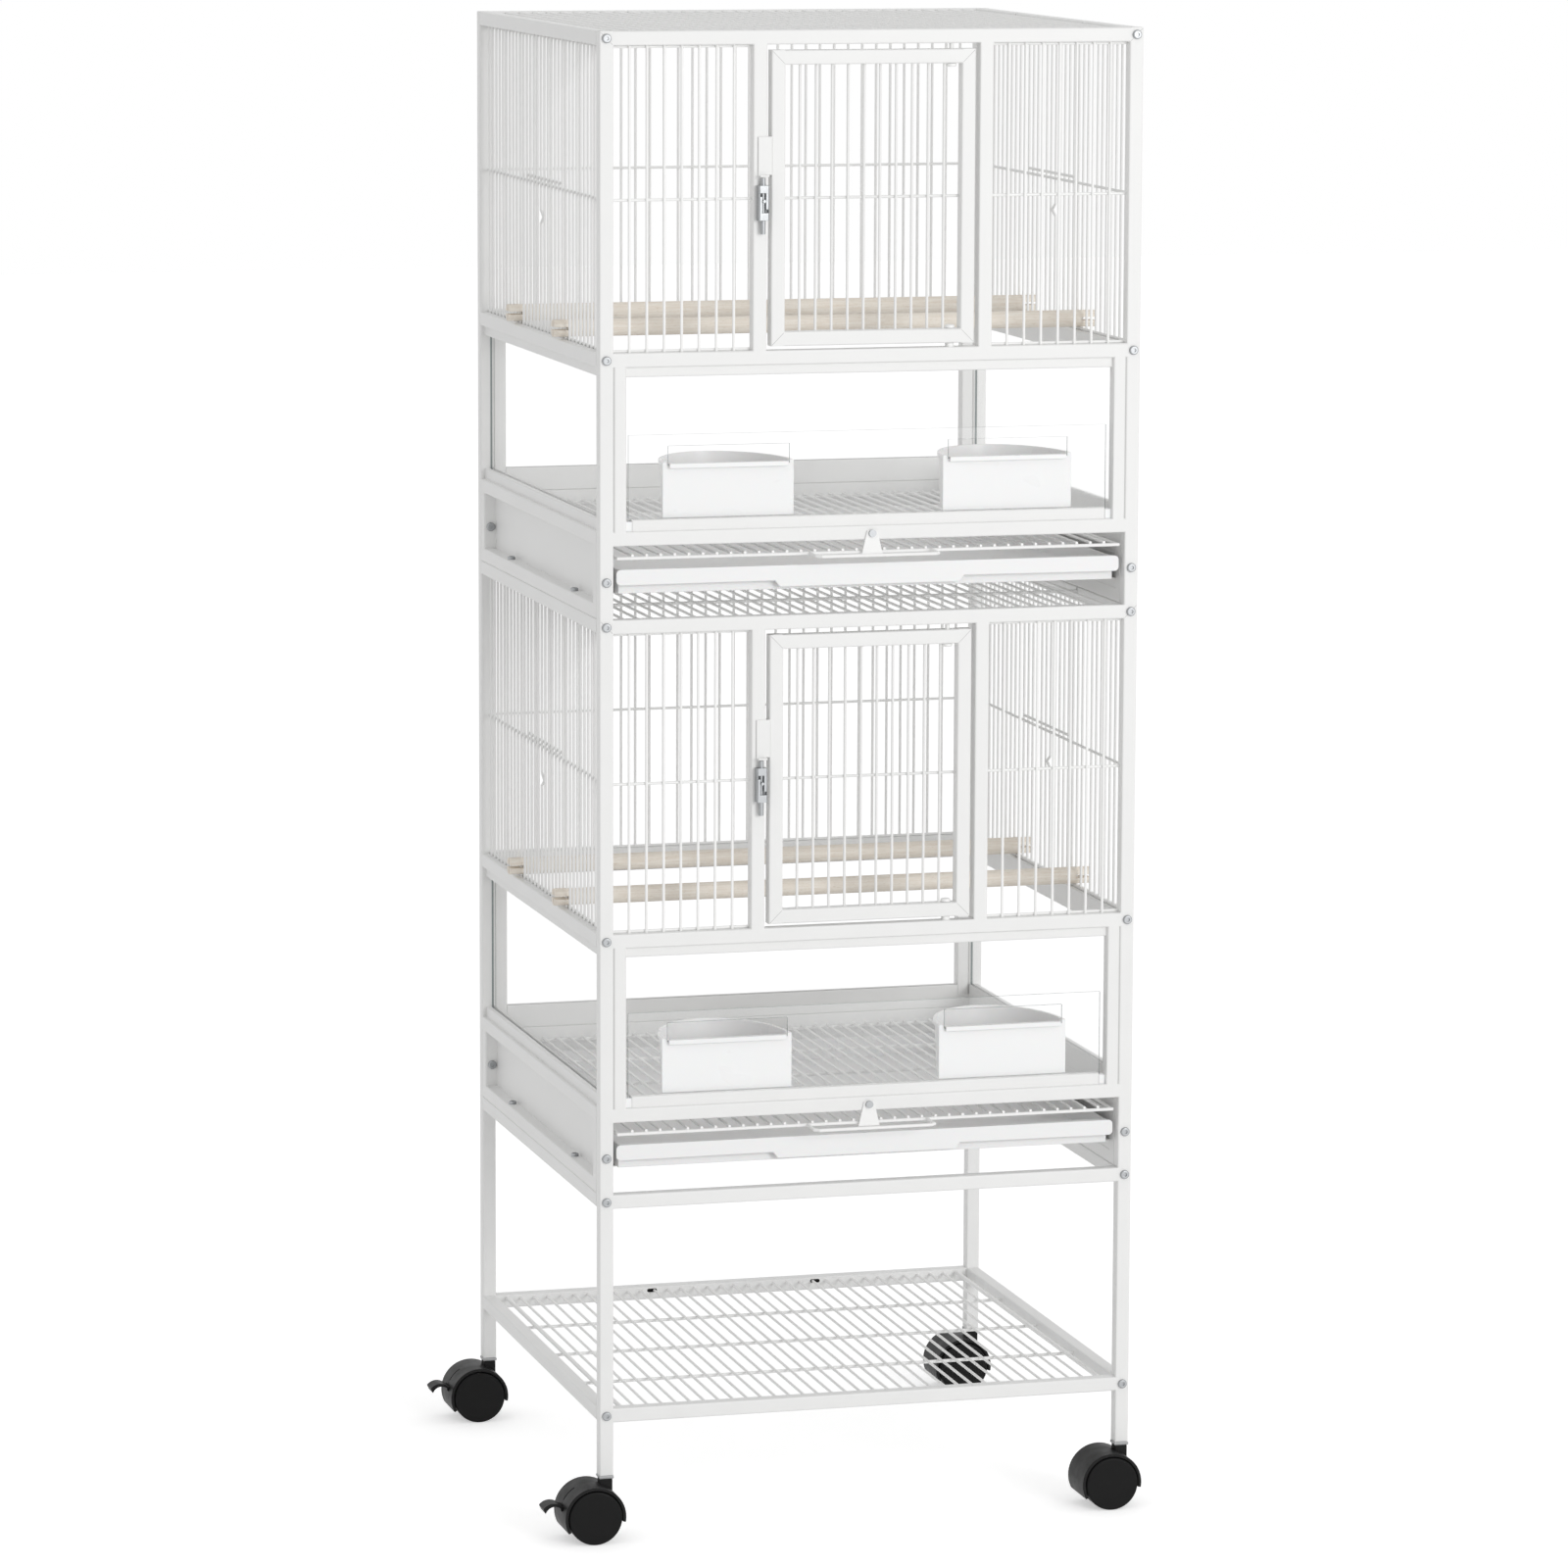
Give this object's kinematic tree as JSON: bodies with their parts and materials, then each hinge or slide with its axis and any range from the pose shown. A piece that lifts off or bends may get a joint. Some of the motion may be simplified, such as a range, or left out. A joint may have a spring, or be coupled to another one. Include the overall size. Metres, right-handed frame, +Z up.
{
  "type": "bird cage",
  "caption": "Stacked flight cages of white square tube and wire, with swing doors, trays, cups and perches, on a rolling stand with a wire shelf.",
  "frame": {"origin": "middle of the bounding box on the floor, under the wheels", "axes": "+X to the right along the front, +Y from the front to the back, +Z up"},
  "size_m": [0.5697, 0.53, 1.3745],
  "materials": {
    "white_powder_coat": "white powder coat on mild steel tube and wire, satin",
    "white_tray": "white moulded tray, satin",
    "white_cup": "white injection-moulded plastic, gloss",
    "clear_acrylic": "clear acrylic sheet, polished",
    "beech": "turned beech dowel, sanded, no varnish",
    "zinc": "bright zinc plate",
    "grey_plastic": "light grey polyethylene end cap",
    "black_nylon": "black moulded nylon, fine matte"
  },
  "bodies": {
    "cage_and_stand": {"lower_front_frame": "white_powder_coat", "lower_back_frame": "white_powder_coat", "lower_left_base_frame": "white_powder_coat", "lower_right_base_frame": "white_powder_coat", "lower_left_wire_frame": "white_powder_coat", "lower_right_wire_frame": "white_powder_coat", "lower_wire_panels": "white_powder_coat", "lower_top_grid": "white_powder_coat", "lower_grate": "white_powder_coat", "lower_side_guards": "clear_acrylic", "lower_perches": "beech", "upper_front_frame": "white_powder_coat", "upper_back_frame": "white_powder_coat", "upper_left_base_frame": "white_powder_coat", "upper_right_base_frame": "white_powder_coat", "upper_left_wire_frame": "white_powder_coat", "upper_right_wire_frame": "white_powder_coat", "upper_wire_panels": "white_powder_coat", "upper_top_grid": "white_powder_coat", "upper_grate": "white_powder_coat", "upper_side_guards": "clear_acrylic", "upper_perches": "beech", "hinge_pins": "white_powder_coat", "latch_barrels": "zinc", "frame_bolts": "zinc", "guard_clips": "white_cup", "clip_screws": "zinc", "stacking_bolts": "zinc", "stand_front_frame": "white_powder_coat", "stand_back_frame": "white_powder_coat", "stand_top_rails": "white_powder_coat", "stand_shelf_rails": "white_powder_coat", "shelf_grid": "white_powder_coat", "foot_caps": "grey_plastic"},
    "lower_door": {"lower_door": "white_powder_coat", "lower_door_keeper": "white_powder_coat"},
    "lower_latch_bolt": {"lower_latch_bolt": "zinc"},
    "lower_tray": {"lower_tray": "white_tray"},
    "lower_grate_clip": {"lower_grate_clip": "white_powder_coat"},
    "lower_front_guard": {"lower_front_guard": "clear_acrylic"},
    "lower_cup_left": {"lower_cup_left": "white_cup"},
    "lower_cup_right": {"lower_cup_right": "white_cup"},
    "upper_door": {"upper_door": "white_powder_coat", "upper_door_keeper": "white_powder_coat"},
    "upper_latch_bolt": {"upper_latch_bolt": "zinc"},
    "upper_tray": {"upper_tray": "white_tray"},
    "upper_grate_clip": {"upper_grate_clip": "white_powder_coat"},
    "upper_front_guard": {"upper_front_guard": "clear_acrylic"},
    "upper_cup_left": {"upper_cup_left": "white_cup"},
    "upper_cup_right": {"upper_cup_right": "white_cup"},
    "caster_front_left": {"caster_front_left": "black_nylon"},
    "wheels_front_left": {"wheels_front_left": "black_nylon"},
    "brake_lever_front_left": {"brake_lever_front_left": "black_nylon"},
    "caster_back_left": {"caster_back_left": "black_nylon"},
    "wheels_back_left": {"wheels_back_left": "black_nylon"},
    "brake_lever_back_left": {"brake_lever_back_left": "black_nylon"},
    "caster_front_right": {"caster_front_right": "black_nylon"},
    "wheels_front_right": {"wheels_front_right": "black_nylon"},
    "caster_back_right": {"caster_back_right": "black_nylon"},
    "wheels_back_right": {"wheels_back_right": "black_nylon"}
  },
  "joints": [
    {"name": "lower_door_hinge", "type": "hinge", "parent": "cage_and_stand", "child": "lower_door", "pos_m": [0.09675, -0.233, 0.6975], "axis": [0, 0, 1], "range_deg": [0, 140]},
    {"name": "lower_latch_slide", "type": "slide", "parent": "cage_and_stand", "child": "lower_latch_bolt", "axis": [0, 0, 1], "range_m": [-0.009, 0.0055]},
    {"name": "lower_tray_slide", "type": "slide", "parent": "cage_and_stand", "child": "lower_tray", "axis": [0, -1, 0], "range_m": [0, 0.4]},
    {"name": "lower_grate_clip_pivot", "type": "hinge", "parent": "cage_and_stand", "child": "lower_grate_clip", "pos_m": [0.02275, -0.24055, 0.3941], "axis": [0, 1, 0], "range_deg": [-90, 90]},
    {"name": "lower_front_guard_lift", "type": "slide", "parent": "cage_and_stand", "child": "lower_front_guard", "axis": [0, 0, 1], "range_m": [0, 0.05]},
    {"name": "lower_cup_left_lift", "type": "slide", "parent": "lower_front_guard", "child": "lower_cup_left", "axis": [0, 0, 1], "range_m": [0, 0.014]},
    {"name": "lower_cup_right_lift", "type": "slide", "parent": "lower_front_guard", "child": "lower_cup_right", "axis": [0, 0, 1], "range_m": [0, 0.014]},
    {"name": "upper_door_hinge", "type": "hinge", "parent": "cage_and_stand", "child": "upper_door", "pos_m": [0.09675, -0.233, 1.224], "axis": [0, 0, 1], "range_deg": [0, 140]},
    {"name": "upper_latch_slide", "type": "slide", "parent": "cage_and_stand", "child": "upper_latch_bolt", "axis": [0, 0, 1], "range_m": [-0.009, 0.0055]},
    {"name": "upper_tray_slide", "type": "slide", "parent": "cage_and_stand", "child": "upper_tray", "axis": [0, -1, 0], "range_m": [0, 0.4]},
    {"name": "upper_grate_clip_pivot", "type": "hinge", "parent": "cage_and_stand", "child": "upper_grate_clip", "pos_m": [0.02275, -0.24055, 0.9206], "axis": [0, 1, 0], "range_deg": [-90, 90]},
    {"name": "upper_front_guard_lift", "type": "slide", "parent": "cage_and_stand", "child": "upper_front_guard", "axis": [0, 0, 1], "range_m": [0, 0.05]},
    {"name": "upper_cup_left_lift", "type": "slide", "parent": "upper_front_guard", "child": "upper_cup_left", "axis": [0, 0, 1], "range_m": [0, 0.014]},
    {"name": "upper_cup_right_lift", "type": "slide", "parent": "upper_front_guard", "child": "upper_cup_right", "axis": [0, 0, 1], "range_m": [0, 0.014]},
    {"name": "swivel_front_left", "type": "hinge", "parent": "cage_and_stand", "child": "caster_front_left", "pos_m": [-0.22475, -0.233, 0.0605], "axis": [0, 0, 1], "continuous": true},
    {"name": "roll_front_left", "type": "hinge", "parent": "caster_front_left", "child": "wheels_front_left", "pos_m": [-0.23875, -0.233, 0.025], "axis": [0, 1, 0], "continuous": true},
    {"name": "brake_front_left", "type": "hinge", "parent": "caster_front_left", "child": "brake_lever_front_left", "pos_m": [-0.2665, -0.233, 0.03192], "axis": [0, 1, 0], "range_deg": [-20, 0]},
    {"name": "swivel_back_left", "type": "hinge", "parent": "cage_and_stand", "child": "caster_back_left", "pos_m": [-0.22475, 0.241, 0.0605], "axis": [0, 0, 1], "continuous": true},
    {"name": "roll_back_left", "type": "hinge", "parent": "caster_back_left", "child": "wheels_back_left", "pos_m": [-0.23875, 0.241, 0.025], "axis": [0, 1, 0], "continuous": true},
    {"name": "brake_back_left", "type": "hinge", "parent": "caster_back_left", "child": "brake_lever_back_left", "pos_m": [-0.2665, 0.241, 0.03192], "axis": [0, 1, 0], "range_deg": [-20, 0]},
    {"name": "swivel_front_right", "type": "hinge", "parent": "cage_and_stand", "child": "caster_front_right", "pos_m": [0.27025, -0.233, 0.0605], "axis": [0, 0, 1], "continuous": true},
    {"name": "roll_front_right", "type": "hinge", "parent": "caster_front_right", "child": "wheels_front_right", "pos_m": [0.25625, -0.233, 0.025], "axis": [0, 1, 0], "continuous": true},
    {"name": "swivel_back_right", "type": "hinge", "parent": "cage_and_stand", "child": "caster_back_right", "pos_m": [0.27025, 0.241, 0.0605], "axis": [0, 0, 1], "continuous": true},
    {"name": "roll_back_right", "type": "hinge", "parent": "caster_back_right", "child": "wheels_back_right", "pos_m": [0.25625, 0.241, 0.025], "axis": [0, 1, 0], "continuous": true}
  ]
}
